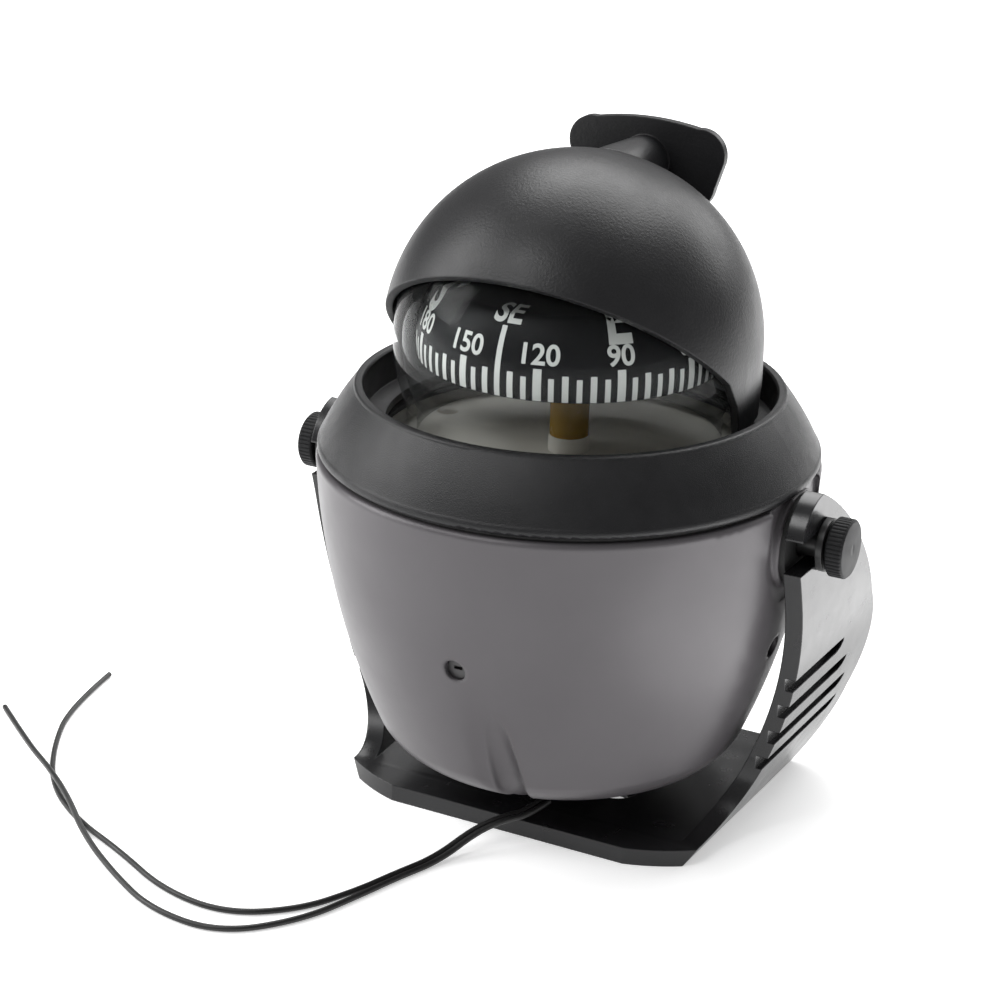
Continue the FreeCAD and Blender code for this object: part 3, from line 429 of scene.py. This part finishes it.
def on_card(angle, along):
    """A point just off the card's outer face, that far up from its rim; degrees from -Y."""

    def change(values):
        ahead = float(np.interp(along + NEAR, LENGTHS, values))
        return ahead - float(np.interp(along - NEAR, LENGTHS, values))

    outward = change(RADII)
    upward = change(HEIGHTS)
    slope = math.hypot(outward, upward)
    radius = float(np.interp(along, LENGTHS, RADII)) + PROUD * upward / slope
    height = float(np.interp(along, LENGTHS, HEIGHTS)) - PROUD * outward / slope
    turn_by = math.radians(angle)
    return mm(radius * math.sin(turn_by), -radius * math.cos(turn_by), height)


def along_at(height):
    """How far up the card's side a height is."""
    return float(np.interp(height, [p[1] for p in side_arc], LENGTHS[:len(side_arc)]))


BAR_R = 25.1       # the radius at which a bar's width is measured
BAR_ROWS = 6
CAP_HEIGHT = 0.70  # height of a capital letter in the font, for a size of 1


def strip(angle, width, low_end, high_end):
    """A printed bar that stands up the card's side."""
    half = math.degrees(width / 2 / BAR_R)
    points = []
    for i in range(BAR_ROWS + 1):
        along = low_end + (high_end - low_end) * i / BAR_ROWS
        points += [on_card(angle - half, along), on_card(angle + half, along)]
    faces = [(2 * i, 2 * i + 1, 2 * i + 3, 2 * i + 2) for i in range(BAR_ROWS)]
    return points, faces


def lettering(text, height, angle, foot, weight=0.0, squeeze=1.0):
    """Flat lettering wrapped on the card, its foot that far up from the rim."""
    curve = bpy.data.curves.new("lettering", "FONT")
    curve.body = text
    curve.align_x = "CENTER"
    curve.resolution_u = 6
    curve.offset = weight
    writing = bpy.data.objects.new("lettering", curve)
    scene.collection.objects.link(writing)
    bpy.context.view_layer.update()
    flat = bpy.data.meshes.new_from_object(
        writing.evaluated_get(bpy.context.evaluated_depsgraph_get()))
    bpy.data.objects.remove(writing)
    cuts = bmesh.new()
    cuts.from_mesh(flat)
    bmesh.ops.triangulate(cuts, faces=cuts.faces)
    bmesh.ops.subdivide_edges(cuts, edges=[e for e in cuts.edges if e.calc_length() > 0.15],
                              cuts=5, use_grid_fill=True)
    bmesh.ops.triangulate(cuts, faces=cuts.faces)
    size = height / CAP_HEIGHT
    radius_here = float(np.interp(foot + height / 2, LENGTHS, RADII))
    points = [on_card(angle + math.degrees(v.co.x * size * squeeze / radius_here),
                      foot + v.co.y * size) for v in cuts.verts]
    faces = [tuple(v.index for v in f.verts) for f in cuts.faces]
    cuts.free()
    return points, faces


print_points = []
print_faces = []


def stamp(made):
    points, faces = made
    base = len(print_points)
    print_points.extend(points)
    print_faces.extend(tuple(i + base for i in face) for face in faces)


BAR_FOOT = along_at(79.75)
LETTERS = {0: "N", 45: "NE", 90: "E", 135: "SE", 180: "S", 225: "SW", 270: "W", 315: "NW"}
BARS = [(30, 1.35, 5.2), (10, 1.0, 4.3), (5, 0.88, 3.8)]   # every so many degrees, width, height
LETTER_BAR = (0.95, 11.3)                                  # under the two-letter points
NUMERALS = (3.2, 5.9, 0.022, 1.0)                          # height, foot, weight, squeeze
LETTER_STYLES = {1: (8.0, 9.5, 0.03, 0.68), 2: (4.6, 11.9, 0.025, 0.74)}


def write(text, value, style):
    height, foot, weight, squeeze = style
    stamp(lettering(text, height, LUBBER - value, BAR_FOOT + foot, weight, squeeze))


for value in range(0, 360, 5):
    if len(LETTERS.get(value, "")) == 2:
        width, tall = LETTER_BAR
    else:
        width, tall = next(size for every, *size in BARS if value % every == 0)
    stamp(strip(LUBBER - value, width, BAR_FOOT, BAR_FOOT + tall))
for value in range(0, 360, 30):
    write(str(value), value, NUMERALS)
for value, letters in LETTERS.items():
    write(letters, value, LETTER_STYLES[len(letters)])

PRINT = moulded("card print", (0.72, 0.73, 0.70), (0.80, 0.81, 0.78), (0.4, 0.5), strength=0.1)
print_object = bpy.data.objects.new("card_scale", mesh_of("card_scale", print_points, print_faces))
scene.collection.objects.link(print_object)
print_object.data.materials.append(PRINT.material)
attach(print_object, "card")

CARD_WALL = 0.8
CROWN_SHRINK = 0.97
inner = ([(r - CARD_WALL, z) for r, z in side_arc]
         + [(r * CROWN_SHRINK, z - CARD_WALL) for r, z in crown_arc[1:]])
card_profile = outer + list(reversed(inner))
card = shown("card_shell", lathe("card_shell", card_profile), "card_print", "card", "compass_card")
smooth(card, 40)

# ---------------------------------------------------------------- floor and light

bpy.ops.mesh.primitive_plane_add(size=6.0, location=(0, 0, 0))
floor = bpy.context.object
floor.name = "floor"
floor_nodes = Nodes("floor")
floor_nodes.link(floor_nodes.two_colours(floor_nodes.noise(3.0), (0.90, 0.90, 0.90),
                                         (0.92, 0.92, 0.92)),
                 floor_nodes.shader.inputs["Base Color"])
floor_nodes.shader.inputs["Roughness"].default_value = 0.8
floor_nodes.shader.inputs["Emission Color"].default_value = (1.0, 1.0, 1.0, 1)
floor_nodes.shader.inputs["Emission Strength"].default_value = 0.42
floor.data.materials.append(floor_nodes.material)

world = bpy.data.worlds.new("studio")
world.use_nodes = True
world.node_tree.nodes["Background"].inputs["Color"].default_value = (1.0, 1.0, 1.0, 1)
world.node_tree.nodes["Background"].inputs["Strength"].default_value = 0.26
scene.world = world


def softbox(name, place, aim, width, tall, power):
    light = bpy.data.lights.new(name, "AREA")
    light.shape = "RECTANGLE"
    light.size = width
    light.size_y = tall
    light.energy = power
    obj = bpy.data.objects.new(name, light)
    scene.collection.objects.link(obj)
    obj.location = place
    obj.rotation_mode = "QUATERNION"
    obj.rotation_quaternion = (Vector(aim) - Vector(place)).to_track_quat("-Z", "Y")
    obj.visible_camera = False
    return obj


ORIGIN = (0, 0, 0)
CENTRE = (0, 0, 0.06)
LIGHTS = [   # name, place, what it faces, width, height, watts
    ("top", (-0.1, 0.75, 1.15), ORIGIN, 1.3, 0.9, 20.0),
    ("front", (-0.35, -0.8, 1.2), ORIGIN, 0.6, 0.5, 6.0),
    ("left", (-0.75, -0.25, 0.50), CENTRE, 0.5, 0.7, 6.0),
    ("rear", (0.3, 0.9, 0.45), CENTRE, 0.6, 0.4, 2.5),
    ("bounce", (0.14, 0.09, 0.001), (0.14, 0.09, 1.0), 0.16, 0.30, 0.22),
]
for light in LIGHTS:
    softbox(*light)

scene.view_settings.view_transform = "Standard"
